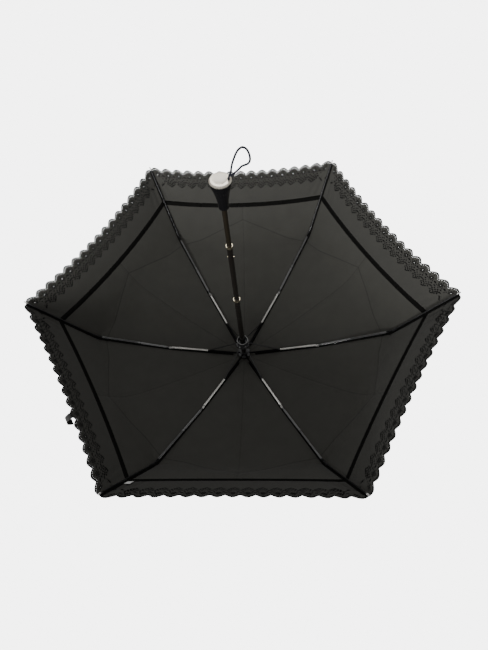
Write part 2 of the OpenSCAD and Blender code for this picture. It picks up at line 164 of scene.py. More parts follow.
def round_faces(rings, sides, capped=True):
    """Faces of a tube whose points stand in rings, one after another."""
    faces = []
    for i in range(rings - 1):
        near, far = i * sides, (i + 1) * sides
        faces += [(near + j, near + (j + 1) % sides, far + (j + 1) % sides, far + j) for j in range(sides)]
    if capped:
        last = (rings - 1) * sides
        faces += [tuple(range(sides))[::-1], tuple(range(last, last + sides))]
    return faces


def tube(line, radius, sides, strands=0, pitch=0.006, depth=0.0):
    """Points and faces of a round tube on a line. Strands twist round it."""
    line = np.asarray(line, float)
    along = np.gradient(line, axis=0)
    along /= np.linalg.norm(along, axis=1)[:, None]
    across = np.cross(along, (0.02, 1, 0.02))
    across /= np.linalg.norm(across, axis=1)[:, None]
    third = np.cross(along, across)
    far = np.concatenate([[0], np.cumsum(np.linalg.norm(np.diff(line, axis=0), axis=1))])
    turn = np.arange(sides) / sides * 2 * math.pi
    twist = strands * (turn[None] - far[:, None] / pitch * 2 * math.pi)
    girth = (radius * (1 - depth * (0.5 - 0.5 * np.cos(twist))))[..., None]
    points = line[:, None] + girth * (np.cos(turn)[None, :, None] * across[:, None]
                                      + np.sin(turn)[None, :, None] * third[:, None])
    places = np.stack([np.repeat(far, sides), np.tile(turn * radius, len(line))], 1)
    return points.reshape(-1, 3), round_faces(len(line), sides), places


def outwards(piece):
    """Turns the faces of a closed piece outwards."""
    mesh = bmesh.new()
    mesh.from_mesh(piece.data)
    bmesh.ops.recalc_face_normals(mesh, faces=mesh.faces)
    mesh.to_mesh(piece.data)
    mesh.free()


def finish_of(name, colour, rough, metal=0.0, spread=0.25, grain=400.0, bump=0.05, coat=0.0,
              stretch=(1, 1, 1), sheen=0.0, specular=0.5, rough_spread=0.08):
    """A finish whose colour varies in soft patches, and whose roughness and height follow a fine grain."""
    material = bpy.data.materials.new(name)
    material.use_nodes = True
    nodes, links = material.node_tree.nodes, material.node_tree.links
    shader = nodes["Principled BSDF"]
    shader.inputs["Metallic"].default_value = metal
    shader.inputs["Coat Weight"].default_value = coat
    shader.inputs["Coat Roughness"].default_value = 0.06
    shader.inputs["Sheen Weight"].default_value = sheen
    shader.inputs["Specular IOR Level"].default_value = specular
    place = nodes.new("ShaderNodeTexCoord")
    mapping = nodes.new("ShaderNodeMapping")
    mapping.inputs["Scale"].default_value = stretch
    links.new(place.outputs["Object"], mapping.inputs["Vector"])
    patches = nodes.new("ShaderNodeTexNoise")
    patches.inputs["Scale"].default_value = grain / 8
    patches.inputs["Detail"].default_value = 4
    links.new(mapping.outputs["Vector"], patches.inputs["Vector"])
    tint = nodes.new("ShaderNodeMix")
    tint.data_type = "RGBA"
    tint.inputs["A"].default_value = (*[c * (1 - spread) for c in colour], 1)
    tint.inputs["B"].default_value = (*[min(1, c * (1 + spread)) for c in colour], 1)
    links.new(patches.outputs["Fac"], tint.inputs["Factor"])
    links.new(tint.outputs["Result"], shader.inputs["Base Color"])
    fine = nodes.new("ShaderNodeTexNoise")
    fine.inputs["Scale"].default_value = grain
    fine.inputs["Detail"].default_value = 3
    links.new(mapping.outputs["Vector"], fine.inputs["Vector"])
    rub = nodes.new("ShaderNodeMapRange")
    rub.inputs["To Min"].default_value = max(0.03, rough - rough_spread)
    rub.inputs["To Max"].default_value = rough + rough_spread
    links.new(fine.outputs["Fac"], rub.inputs["Value"])
    links.new(rub.outputs["Result"], shader.inputs["Roughness"])
    lift = nodes.new("ShaderNodeBump")
    lift.inputs["Strength"].default_value = bump
    lift.inputs["Distance"].default_value = 0.0004
    links.new(fine.outputs["Fac"], lift.inputs["Height"])
    links.new(lift.outputs["Normal"], shader.inputs["Normal"])
    return material


def dress(piece, material):
    """Gives a piece one material."""
    piece.data.materials.clear()
    piece.data.materials.append(material)


cord_finish = finish_of("cord_finish", (0.006, 0.007, 0.013), 0.6, grain=2500, bump=0.5, specular=0.2)
cord_line = smooth_line(cord_route, 12)
cord_mesh = tube(cord_line, cord_radius, 20, strands=3, pitch=0.009, depth=0.05)
wrist_cord = new_piece("twisted_wrist_cord", *cord_mesh)
outwards(wrist_cord)
dress(wrist_cord, cord_finish)
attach(wrist_cord, "handle")
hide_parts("wrist_cord")

# Cord knot: an overhand knot that fills the hole in the end plate. It is the
# same twisted cord, pulled tight.
knot_low, knot_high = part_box("cord_knot")
knot_centre = knot_low.lerp(knot_high, 0.5)
knot_size = 0.00042
knot_rise = 0.0006
knot_turn = np.linspace(0, 2 * math.pi, 49)[:-1]
knot_line = np.stack([(np.sin(knot_turn) + 2 * np.sin(2 * knot_turn)) * knot_size + knot_centre.x,
                      (np.cos(knot_turn) - 2 * np.cos(2 * knot_turn)) * knot_size + knot_centre.y,
                      -np.sin(3 * knot_turn) * knot_rise + knot_centre.z], 1)
knot_line = np.concatenate([knot_line, knot_line[:1]])
cord_knot = new_piece("tight_cord_knot", *tube(knot_line, 0.0008, 10))
outwards(cord_knot)
dress(cord_knot, cord_finish)
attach(cord_knot, "handle")
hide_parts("cord_knot")

# Handle: a flared grip of glossy black moulded plastic, and a satin metal end
# plate pressed over its wide end, with a cream metal disc set in the plate.
grip_finish = finish_of("glossy_black_plastic", (0.004, 0.004, 0.0045), 0.14, spread=0.1, grain=180,
                        bump=0.01, coat=0.25, specular=0.4, rough_spread=0.03)
plate_finish = finish_of("satin_champagne_metal", (0.90, 0.83, 0.71), 0.28, metal=1.0, spread=0.06,
                         grain=900, bump=0.03, stretch=(1, 1, 0.2))
disc_finish = finish_of("cream_disc_metal", (0.96, 0.90, 0.79), 0.4, metal=0.9, spread=0.04,
                        grain=500, bump=0.02)
dress(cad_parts["handle_body"], grip_finish)
dress(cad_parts["handle_cap"], plate_finish)
plate_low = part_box("handle_cap")[0].z
disc_radius = 0.0094
disc_depth = 0.0012
disc_sunk = 0.0002
disc_lip = 0.0012
disc_dish = 0.0003
bpy.ops.object.select_all(action="DESELECT")
bpy.ops.mesh.primitive_cylinder_add(vertices=96, radius=disc_radius, depth=disc_depth,
                                    location=(0.0, 0.0, plate_low + disc_sunk))
end_disc = bpy.context.object
end_disc.name = "end_plate_disc"
bpy.ops.object.mode_set(mode="EDIT")
bpy.ops.mesh.select_all(action="DESELECT")
disc_mesh = bmesh.from_edit_mesh(end_disc.data)
for face in disc_mesh.faces:
    face.select = face.normal.z < -0.9
bmesh.update_edit_mesh(end_disc.data)
bpy.ops.mesh.inset(thickness=disc_lip)
bpy.ops.transform.translate(value=(0, 0, disc_dish))
bpy.ops.object.mode_set(mode="OBJECT")
rounding = end_disc.modifiers.new("rounding", "BEVEL")
rounding.width = 0.00025
rounding.segments = 3
rounding.limit_method = "ANGLE"
bpy.ops.object.modifier_apply(modifier="rounding")
bpy.ops.object.transform_apply(location=True, rotation=True, scale=True)
bpy.ops.object.shade_smooth_by_angle(angle=math.radians(35))
dress(end_disc, disc_finish)
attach(end_disc, "handle")

# Shaft: three drawn tubes that slide into each other, of dark brown lacquered
# metal, with pale gold collars pressed on the rims and two bright stop rivets.
bronze_lacquer = finish_of("bronze_lacquer", (0.033, 0.027, 0.018), 0.24, metal=0.7, spread=0.2, grain=350,
                           bump=0.01, coat=0.5, stretch=(1, 1, 0.05))
dark_lacquer = finish_of("dark_lacquer", (0.013, 0.011, 0.0095), 0.2, metal=0.5, spread=0.25, grain=350,
                         bump=0.01, coat=0.6, stretch=(1, 1, 0.05))
pale_gold = finish_of("pale_gold_rim", (0.80, 0.71, 0.52), 0.26, metal=1.0, spread=0.08, grain=700, bump=0.02)
for node, material, slot in (
    ("lower_tube", bronze_lacquer, "shaft_lower"),
    ("middle_tube", dark_lacquer, "shaft_dark"),
    ("upper_tube", dark_lacquer, "shaft_dark"),
    ("collar_lower", pale_gold, "rim_metal"),
    ("collar_upper", pale_gold, "rim_metal"),
    ("stop_rivets", pale_gold, "rim_metal"),
):
    dress(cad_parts[node], material)

# Crown and runner: black moulded nylon rings with slots for the ribs, each
# with a steel hinge wire. The cap on top clamps the cloth on the crown.
black_nylon = finish_of("black_nylon", (0.02, 0.02, 0.021), 0.42, spread=0.2, grain=900, bump=0.08)
hinge_wire = finish_of("hinge_wire", (0.55, 0.55, 0.56), 0.3, metal=1.0, spread=0.1, grain=1500, bump=0.03)
cap_finish = finish_of("smooth_black_cap", (0.014, 0.014, 0.015), 0.25, spread=0.15, grain=300, bump=0.02,
                       coat=0.3)
for node, material, slot in (
    ("crown", black_nylon, "black_plastic"),
    ("runner", black_nylon, "black_plastic"),
    ("top_cap", cap_finish, "black_plastic"),
    ("crown_wire", hinge_wire, "wire_steel"),
    ("runner_wire", hinge_wire, "wire_steel"),
):
    dress(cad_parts[node], material)

# Runner rims: two thin grey metal rings on the lower and upper rims of the black runner. Their grey is a
# painted highlight, standing in for the light caught along those rims.
rim_highlight_grey = finish_of("rim_highlight_grey", (0.32, 0.32, 0.31), 0.35, metal=0.9, spread=0.1, grain=900, bump=0.03)
runner_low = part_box("runner")[0].z
rim_wire = 0.00065
rim_stretch = 1.3
for name, height, radius in (("runner_lower_rim", 0.0006, 0.0119), ("runner_upper_rim", 0.0135, 0.0124)):
    bpy.ops.object.select_all(action="DESELECT")
    bpy.ops.mesh.primitive_torus_add(major_radius=radius, minor_radius=rim_wire, major_segments=96,
                                     minor_segments=12, location=(0, 0, runner_low + height))
    rim = bpy.context.object
    rim.name = name
    bpy.ops.object.mode_set(mode="EDIT")
    bpy.ops.mesh.select_all(action="SELECT")
    bpy.ops.transform.resize(value=(1, 1, rim_stretch))
    bpy.ops.object.mode_set(mode="OBJECT")
    bpy.ops.object.transform_apply(location=True, rotation=True, scale=True)
    bpy.ops.object.shade_smooth()
    dress(rim, rim_highlight_grey)
    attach(rim, "slider")

# Ribs: plated steel channel at the crown, twin steel link wires, a grey
# channel, then a black rod from a dark fitting out to the corner.
plated_steel = finish_of("plated_steel", (0.62, 0.61, 0.58), 0.3, metal=1.0, spread=0.14, grain=500,
                         bump=0.04)
bright_bar = finish_of("bright_bar", (0.6, 0.59, 0.57), 0.28, metal=1.0, spread=0.12, grain=600, bump=0.04)
blackened_steel = finish_of("blackened_steel", (0.05, 0.05, 0.05), 0.32, metal=0.8, spread=0.2, grain=600,
                            bump=0.04)
link_steel = finish_of("link_steel", (0.4, 0.4, 0.4), 0.3, metal=1.0, spread=0.1, grain=1500, bump=0.03)
black_rod = finish_of("black_fibre_rod", (0.012, 0.012, 0.013), 0.35, spread=0.2, grain=1200, bump=0.06)
grey_channel = finish_of("grey_channel", (0.17, 0.17, 0.17), 0.36, metal=0.8, spread=0.15, grain=700,
                         bump=0.05)


def dark_where(material, radius, dark, beyond=True):
    """Turns a finish dark beyond, or within, that distance from the shaft."""
    nodes, links = material.node_tree.nodes, material.node_tree.links
    shader = nodes["Principled BSDF"]
    split = nodes.new("ShaderNodeSeparateXYZ")
    flat = nodes.new("ShaderNodeCombineXYZ")
    far = nodes.new("ShaderNodeVectorMath")
    far.operation = "LENGTH"
    past = nodes.new("ShaderNodeMath")
    past.operation = "GREATER_THAN" if beyond else "LESS_THAN"
    past.inputs[1].default_value = radius
    place = next(n for n in nodes if n.type == "TEX_COORD")
    links.new(place.outputs["Object"], split.inputs["Vector"])
    links.new(split.outputs["X"], flat.inputs["X"])
    links.new(split.outputs["Y"], flat.inputs["Y"])
    links.new(flat.outputs["Vector"], far.inputs[0])
    links.new(far.outputs["Value"], past.inputs[0])
    swap = nodes.new("ShaderNodeMix")
    swap.data_type = "RGBA"
    was = shader.inputs["Base Color"].links[0].from_socket
    links.new(past.outputs["Value"], swap.inputs["Factor"])
    links.new(was, swap.inputs["A"])
    swap.inputs["B"].default_value = (*dark, 1)
    links.new(swap.outputs["Result"], shader.inputs["Base Color"])


fitting_black = (0.012, 0.012, 0.013)
knuckle_radius = 0.3205
sleeve_radius = 0.0865
dark_where(grey_channel, knuckle_radius, fitting_black)
dark_where(plated_steel, sleeve_radius, fitting_black, beyond=False)
for k in range(1, 7):
    for node, material, slot in (
        ("inner_rib", plated_steel, "rib_metal"),
        ("stretcher", blackened_steel, "bar_metal"),
        ("link_wires", link_steel, "wire_steel"),
        ("middle_rib", grey_channel, "rib_metal"),
        ("outer_rib", black_rod, "rod_black"),
        ("rib_tip", bright_bar, "bar_metal"),
    ):
        dress(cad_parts[f"{node}_{k}"], material)

# Canopy: six gores of thin black polyester, cut and sewn to one taut curved
# sheet over the ribs. It is modelled in four strips a gore.
rib_line_r = (0.0085, 0.175, 0.333, 0.388, 0.433)
rib_line_z = (0.0032, -0.034, -0.092, -0.174, -0.243)
seam_radius = rib_line_r[3]
hem_radius = rib_line_r[4]
scallops = 17
strip_cuts = (0, 4, 8, 13, 17)
columns_per_scallop = 6
corner_ease = 0.34
hem_out, hem_down = 0.55, 0.83
hem_drawn_in, hem_drawn_up = 0.006, 0.018


def canopy(gore, u, v, out=0.0, lift=0.0):
    """Points of the cloth: u from the crown, 0, to the corner, 4, and v from rib to rib. Out runs on past
    the hem, and lift is along the normal."""
    u, v, out, lift = np.broadcast_arrays(*(np.asarray(a, float) for a in (u, v, out, lift)))

    def over(at):
        return np.interp(at, range(5), rib_line_r), np.interp(at, range(5), rib_line_z)

    tight_r, tight_z = over(u)
    reach = np.minimum(corner_ease, np.minimum(u, 4 - u))
    loose = [over(u + step * reach) for step in np.linspace(-1, 1, 9)]
    open_cloth = 1 - np.abs(2 * v - 1) ** 3
    r = tight_r + open_cloth * (sum(a for a, _ in loose) / 9 - tight_r)
    z = tight_z + open_cloth * (sum(b for _, b in loose) / 9 - tight_z)
    ahead, behind = over(np.minimum(u + 0.3, 4)), over(np.maximum(u - 0.3, 0))
    dr, dz = ahead[0] - behind[0], ahead[1] - behind[1]
    size = np.hypot(dr, dz)
    pull = 4 * v * (1 - v) * (r / hem_radius) ** 3
    r = r + hem_out * out - hem_drawn_in * pull - lift * dz / size
    z = z - hem_down * out + hem_drawn_up * pull + lift * dr / size + crown_height
    start, end = math.radians(60 * gore), math.radians(60 * gore + 60)
    x = (1 - v) * math.cos(start) + v * math.cos(end)
    y = (1 - v) * math.sin(start) + v * math.sin(end)
    return np.stack([r * x, r * y, z], -1)


cloth_rows = np.concatenate([np.linspace(0, 1, 28)[:-1], np.linspace(1, 2, 34)[:-1], np.linspace(2, 3, 24)])
row_steps = np.hypot(np.diff(np.interp(cloth_rows, range(5), rib_line_r)),
                     np.diff(np.interp(cloth_rows, range(5), rib_line_z)))
cloth_down = rib_line_r[0] + np.concatenate([[0], np.cumsum(row_steps)])
half_gore = math.asin(0.5 * seam_radius / float(cloth_down[-1]))
fold_hinge = 1.88


def folds(u, v):
    """Distances, in metres of flat cloth, from the fold lines that run square from just inside the outer
    hinges of both ribs, and from the fold down the middle of the gore."""
    down = np.interp(u, cloth_rows, cloth_down)
    side = np.abs(2 * v - 1)
    arms = down * (math.cos(half_gore) ** 2 + side * math.sin(half_gore) ** 2)
    arms = arms - float(np.interp(fold_hinge, cloth_rows, cloth_down))
    return arms, (2 * v - 1) * down * math.sin(half_gore)


def crease(u, v):
    """Height of the pressed fold lines."""
    arms, middle = folds(u, v)
    fold_width, arm_height, middle_height = 0.004, 0.0012, 0.0010
    height = arm_height * np.exp(-((arms / fold_width) ** 2))
    height = height + middle_height * np.exp(-((middle / fold_width) ** 2)) * np.clip(u, 0, 1)
    return height * np.clip((2.97 - u) * 8, 0, 1)


def ripple(gore, u, v):
    """Slight slack waves of the cloth between the ribs, a millimetre or so."""
    wave = (np.sin(9.0 * v + 2.1 * u + 1.7 * gore) * np.sin(2.6 * u + 5 * v + gore)
            + 0.5 * np.sin(17 * v - 3 * u + 2.3 * gore))
    return 0.0009 * wave * 4 * v * (1 - v) * np.clip(u, 0, 1) * np.clip((2.95 - u) * 2.5, 0, 1)


def grid_faces(rows, columns):
    """Faces of a sheet whose points stand in rows."""
    return [(i * columns + j, i * columns + j + 1, (i + 1) * columns + j + 1, (i + 1) * columns + j)
            for i in range(rows - 1) for j in range(columns - 1)]


unit_wave = 0.314


def weave_of(name, colour, rough, pitch, sheen, strength, spread=0.12, specular=0.2):
    """Woven cloth: crossed threads of that pitch on the flat UV map, softly uneven in colour."""
    material = finish_of(name, colour, rough, spread=spread, grain=260, bump=0.1, sheen=sheen,
                         specular=specular)
    nodes, links = material.node_tree.nodes, material.node_tree.links
    shader = nodes["Principled BSDF"]
    flat = nodes.new("ShaderNodeUVMap")
    flat.uv_map = "flat"
    threads = []
    for direction in ("X", "Y"):
        wave = nodes.new("ShaderNodeTexWave")
        wave.bands_direction = direction
        wave.inputs["Scale"].default_value = unit_wave / pitch
        wave.inputs["Distortion"].default_value = 0.3
        links.new(flat.outputs["UV"], wave.inputs["Vector"])
        threads.append(wave)
    both = nodes.new("ShaderNodeMath")
    both.operation = "MULTIPLY"
    links.new(threads[0].outputs["Fac"], both.inputs[0])
    links.new(threads[1].outputs["Fac"], both.inputs[1])
    lift = nodes.new("ShaderNodeBump")
    lift.inputs["Strength"].default_value = strength
    lift.inputs["Distance"].default_value = 0.0002
    links.new(both.outputs["Value"], lift.inputs["Height"])
    links.new(lift.outputs["Normal"], shader.inputs["Normal"])
    return material


def fold_shade(material):
    """Paints shade into the colour: darkens the sharp bottom of the fold lines, which the second UV map
    measures.
    """
    nodes, links = material.node_tree.nodes, material.node_tree.links
    shader = nodes["Principled BSDF"]
    away = nodes.new("ShaderNodeUVMap")
    away.uv_map = "folds"
    split = nodes.new("ShaderNodeSeparateXYZ")
    links.new(away.outputs["UV"], split.inputs["Vector"])
    near = []
    for axis, width, depth in (("X", 0.0016, 0.42), ("Y", 0.0014, 0.25)):
        size = nodes.new("ShaderNodeMath")
        size.operation = "ABSOLUTE"
        fade = nodes.new("ShaderNodeMapRange")
        fade.inputs["From Min"].default_value = 0.0002
        fade.inputs["From Max"].default_value = width
        fade.inputs["To Min"].default_value = 1 - depth
        fade.inputs["To Max"].default_value = 1
        links.new(split.outputs[axis], size.inputs[0])
        links.new(size.outputs["Value"], fade.inputs["Value"])
        near.append(fade)
    both = nodes.new("ShaderNodeMath")
    both.operation = "MULTIPLY"
    links.new(near[0].outputs["Result"], both.inputs[0])
    links.new(near[1].outputs["Result"], both.inputs[1])
    dark = nodes.new("ShaderNodeMix")
    dark.data_type = "RGBA"
    dark.inputs["A"].default_value = (0.004, 0.004, 0.004, 1)
    was = shader.inputs["Base Color"].links[0].from_socket
    links.new(both.outputs["Value"], dark.inputs["Factor"])
    links.new(was, dark.inputs["B"])
    links.new(dark.outputs["Result"], shader.inputs["Base Color"])


def gather(piece):
    """The piece rides on the crown, on its own copy of its mesh."""
    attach(piece, "upper")
    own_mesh(piece)


def thicken(piece, thickness):
    """Gives a sheet its thickness, half to each side."""
    wall = piece.modifiers.new("wall", "SOLIDIFY")
    wall.thickness = thickness
    wall.offset = 0
    bpy.ops.object.select_all(action="DESELECT")
    bpy.context.view_layer.objects.active = piece
    piece.select_set(True)
    bpy.ops.object.modifier_apply(modifier="wall")
    bpy.ops.object.shade_smooth_by_angle(angle=math.radians(50))


black_polyester = weave_of("black_polyester", (0.047, 0.046, 0.040), 0.75, 0.0006, 0.1, 0.25)
fold_shade(black_polyester)
for gore in range(1, 7):
    for part in range(4):
        first, last = strip_cuts[part], strip_cuts[part + 1]
        columns = (last - first) * columns_per_scallop + 1
        u, v = np.meshgrid(cloth_rows, np.linspace(first, last, columns) / scallops, indexing="ij")
        height = 0.0004 + crease(u, v) + ripple(gore, u, v)
        points = canopy(gore, u, v, lift=height).reshape(-1, 3)
        flat_x = folds(u, v)[1]
        flat_y = np.broadcast_to(cloth_down[:, None], u.shape)
        places = np.stack([flat_x, flat_y], -1).reshape(-1, 2)
        strip = new_piece(f"canopy_{gore}_{part + 1}", points, grid_faces(*u.shape), places)
        fold_map = strip.data.uv_layers.new(name="folds")
        corner = np.empty(len(strip.data.loops), int)
        strip.data.loops.foreach_get("vertex_index", corner)
        from_folds = np.stack(folds(u, v), -1).reshape(-1, 2)
        fold_map.data.foreach_set("uv", from_folds[corner].ravel())
        thicken(strip, 0.0003)
        dress(strip, black_polyester)
        gather(strip)
    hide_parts(f"gore_{gore}")

# Rosette: a round patch of the same cloth over the meeting of the seams. The
# cap clamps it on top of the canopy.
rosette_cloth = weave_of("rosette_cloth", (0.02, 0.0195, 0.018), 0.75, 0.0006, 0.1, 0.25)
rosette_sides = 96
rosette_edge = 0.0338
round_steps = np.arange(rosette_sides) / rosette_sides * 2 * math.pi
rosette_rings = np.concatenate([np.linspace(0.0086, 0.0330, 12), [rosette_edge]])
rosette_points = []
for ring_number, radius in enumerate(rosette_rings):
    reach = radius + (0.0005 * np.cos(24 * round_steps) if ring_number > 10 else 0)
    slant = reach * np.cos(np.mod(round_steps, math.pi / 3) - math.pi / 6) / math.cos(math.pi / 6)
    above = 0.0018 if ring_number < 12 else 0.0013
    height = crown_height + np.interp(slant, rib_line_r, rib_line_z) + above
    rosette_points.append(np.stack([reach * np.cos(round_steps), reach * np.sin(round_steps), height], 1))
rosette_faces = round_faces(len(rosette_rings), rosette_sides, capped=False)
rosette_points = np.concatenate(rosette_points)
rosette = new_piece("crown_rosette", rosette_points, rosette_faces, rosette_points[:, :2])
thicken(rosette, 0.0005)
dress(rosette, rosette_cloth)
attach(rosette, "upper")

# Seam tapes: a doubled strip of the same cloth is sewn over each seam between
# two gores, inside and outside, with a row of stitches along both its edges.
# The tape is coloured near black, far darker than the canopy: painted shadow
# along the ribs beneath it.
seam_cloth_painted_shadow = weave_of("seam_cloth_painted_shadow", (0.0035, 0.0035, 0.003), 0.8, 0.0006, 0.0, 0.25, specular=0.08)
seam_thread = finish_of("seam_thread", (0.01, 0.01, 0.01), 0.45, grain=3000, bump=0.4, sheen=0.2)


def blobs(centres, longs, wides, thicks, angles, sides=7):
    """Many small rounded stitches at once, on the flat cloth: points (x, y, height) and faces."""
    ring = np.arange(sides) / sides * 2 * math.pi
    form = [(0, 0, -1)]
    form += [(math.cos(t) * 0.8, math.sin(t) * 0.8, h * 0.6) for h in (-1, 1) for t in ring]
    form = np.array(form + [(0, 0, 1)])
    cells = [(0, 1 + (j + 1) % sides, 1 + j) for j in range(sides)]
    upper, top = 1 + sides, len(form) - 1
    cells += [(1 + j, 1 + (j + 1) % sides, upper + (j + 1) % sides, upper + j) for j in range(sides)]
    cells += [(upper + j, upper + (j + 1) % sides, top) for j in range(sides)]
    points, faces = [], []
    for centre, long, wide, thick, angle in zip(centres, longs, wides, thicks, angles):
        x, y = form[:, 0] * long, form[:, 1] * wide
        c, s = math.cos(angle), math.sin(angle)
        start = len(form) * len(points)
        points.append(np.stack([centre[0] + c * x - s * y, centre[1] + s * x + c * y, form[:, 2] * thick], 1))
        faces += [tuple(start + i for i in cell) for cell in cells]
    return np.concatenate(points), faces


tape_section = ((-0.0042, 0.0003), (-0.0038, 0.0010), (0.0, 0.0012), (0.0038, 0.0010), (0.0042, 0.0003),
                (0.0038, -0.0004), (0.0012, -0.0005), (-0.0012, -0.0005), (-0.0038, -0.0004))
stitch_form = ((-1, 0, 0), (0, -1, 0), (1, 0, 0), (0, 1, 0), (0, 0, 1))
stitch_away, stitch_half_width, stitch_half_length, stitch_height = 0.0030, 0.0003, 0.0085, 0.00035
for rib in range(1, 7):
    before = 6 if rib == 1 else rib - 1
    along = np.concatenate([np.linspace(0.12, 3, 90), np.linspace(3.02, 3.985, 30)])
    radius = np.interp(along, range(5), rib_line_r)
    columns = []
    for offset, height in tape_section:
        share = np.abs(offset) / radius
        if offset < 0:
            columns.append(canopy(before, along, 1 - share, lift=height))
        else:
            columns.append(canopy(rib, along, share, lift=height))
    points = np.stack(columns, 1)
    sides = points.shape[1]
    faces = round_faces(len(along), sides)
    down = np.concatenate([[0], np.cumsum(np.linalg.norm(np.diff(points[:, 2], axis=0), axis=1))])
    places = np.stack([np.tile(np.arange(sides) * 0.002, len(along)), np.repeat(down, sides)], 1)
    tape = new_piece(f"seam_tape_{rib}", points.reshape(-1, 3), faces, places)
    outwards(tape)
    dress(tape, seam_cloth_painted_shadow)
    gather(tape)
    pick = np.arange(0.14, 3.96, 0.0265)
    stitch_points, stitch_faces = [], []
    for side in (-1, 1):
        for face_side in (-1, 1):
            far = np.interp(pick, range(5), rib_line_r)
            for at, r in zip(pick, far):
                cell = []
                for du, dv, dh in stitch_form:
                    u_here = at + du * stitch_half_length
                    across = (stitch_away + dv * stitch_half_width) / r
                    lift = (0.0010 if face_side > 0 else -0.0004) + face_side * stitch_height * dh
                    if side < 0:
                        cell.append(canopy(before, u_here, 1 - across, lift=lift))
                    else:
                        cell.append(canopy(rib, u_here, across, lift=lift))
                start = len(stitch_points)
                stitch_points += cell
                stitch_faces += [(start, start + 1, start + 4), (start + 1, start + 2, start + 4),
                                 (start + 2, start + 3, start + 4), (start + 3, start, start + 4),
                                 (start + 3, start + 2, start + 1, start)]
    stitches = new_piece(f"seam_tape_stitches_{rib}", np.array(stitch_points), stitch_faces)
    outwards(stitches)
    dress(stitches, seam_thread)
    gather(stitches)

# Lace border: a deep band of the same cloth below a double-stitched seam. Its
# lower half is cutwork with real eyelets, raised leaves and a scalloped hem.
border_depth = 0.0824
border_flat_depth = 0.09
plain_depth = 0.040
scallop_pitch = hem_radius / scallops
scallop_drop = 0.008
hem_line = 0.0813
corner_pleats = ((0.0030, 0.016, 0.0045), (0.0016, 0.034, 0.0060))


def hem_at(x):
    """Distance from the seam to the scalloped edge at x, from -0.5 to 0.5 across one scallop."""
    return hem_line + scallop_drop * np.abs(np.cos(math.pi * np.asarray(x, float)))


def border_points(gore, scallop, flat):
    """Flat points (x across a scallop, distance below the seam, height) put on the border of that gore."""
    flat = np.asarray(flat, float)
    v = (scallop + 0.5 + flat[:, 0]) / scallops
    u = 3.003 + np.minimum(flat[:, 1], hem_line) / border_depth
    pinch = 0.0009 * np.clip(flat[:, 1] / border_depth - 0.5, 0, 1) * np.cos(2 * math.pi * flat[:, 0])
    gore_width = seam_radius + (hem_radius - seam_radius) * flat[:, 1] / border_depth
    from_rib = np.minimum(v, 1 - v) * gore_width
    spread = 0.35 + 0.65 * (1 - flat[:, 1] / border_flat_depth)
    begun = np.clip(flat[:, 1] / 0.02, 0, 1)
    pleat = 0
    for height, away, width in corner_pleats:
        pleat = pleat + height * np.exp(-(((from_rib - away * spread) / width) ** 2)) * begun
    pleat *= np.clip((border_flat_depth - flat[:, 1]) / 0.03, 0, 1)
    past_hem = np.maximum(flat[:, 1] - hem_line, 0)
    return canopy(gore, u, v, out=past_hem, lift=0.0004 + flat[:, 2] + pinch + pleat)


def circle(x, y, radius, sides):
    """Flat points of an eyelet's edge."""
    turn = np.arange(sides) / sides * 2 * math.pi
    return [(x + radius * math.cos(t) / scallop_pitch, y + radius * math.sin(t)) for t in turn]


rim_eyelet, flower_eyelet, eyelet_wire = 0.0007, 0.0006, 0.0005
rim_inset = 0.0042
rim_spots = [(x, float(hem_at(x)) - rim_inset) for x in np.linspace(-0.43, 0.43, 7)]
flower = (0.0, 0.0715)
# Leaves of the spray: mm across the scallop, metres from the seam, and turn.
leaf_spray = (
    (-1.2, 0.0435, 0.3), (2.2, 0.0452, 1.2), (-4.4, 0.0468, 2.3), (5.6, 0.0476, 0.5), (0.8, 0.0494, 2.0),
    (-8.2, 0.0498, 0.9), (-3.0, 0.0520, 0.1), (9.4, 0.0512, 2.5), (4.2, 0.0524, 1.4), (-6.6, 0.0546, 1.8),
    (0.4, 0.0560, 0.7), (7.4, 0.0556, 0.0), (11.2, 0.0566, 1.7), (-10.6, 0.0568, 2.7), (-4.0, 0.0590, 1.1),
    (4.4, 0.0596, 2.1), (-8.2, 0.0630, 0.4), (8.8, 0.0626, 2.8), (-11.4, 0.0690, 1.5), (11.4, 0.0700, 0.6),
)
eyelets = [circle(x, y, rim_eyelet, 8) for x, y in rim_spots]
eyelets += [circle(*flower, flower_eyelet, 8)]
edge_x = np.linspace(-0.5, 0.5, 15)
side_y = np.linspace(plain_depth, hem_line, 7)[1:-1]
outline = [(x, plain_depth) for x in np.linspace(-0.5, 0.5, columns_per_scallop + 1)]
outline += [(0.5, y) for y in side_y] + [(x, float(hem_at(x))) for x in edge_x[::-1]]
outline += [(-0.5, y) for y in side_y[::-1]]
to_mm = np.array((scallop_pitch * 1000, 1000))
flat_loops = [np.array(loop) * to_mm for loop in [outline] + eyelets]
loop_edges, count = [], 0
for loop in flat_loops:
    loop_edges += [(count + i, count + (i + 1) % len(loop)) for i in range(len(loop))]
    count += len(loop)
cut = delaunay_2d_cdt([Vector(p) for p in np.concatenate(flat_loops).tolist()], loop_edges, [], 0, 1e-5)
tile_points = np.array([(p.x / scallop_pitch / 1000, p.y / 1000, 0) for p in cut[0]])
hole_centres = np.array([loop.mean(0) for loop in flat_loops[1:]])
hole_radii = np.array([np.linalg.norm(loop - loop.mean(0), axis=1).max() for loop in flat_loops[1:]])
tile_faces = []
for face in cut[2]:
    middle = tile_points[list(face)].mean(0)
    from_holes = np.linalg.norm(hole_centres - middle[:2] * to_mm, axis=1)
    if middle[1] < hem_at(middle[0]) + 0.00002 and (from_holes > hole_radii * 0.97).all():
        tile_faces.append(tuple(face))

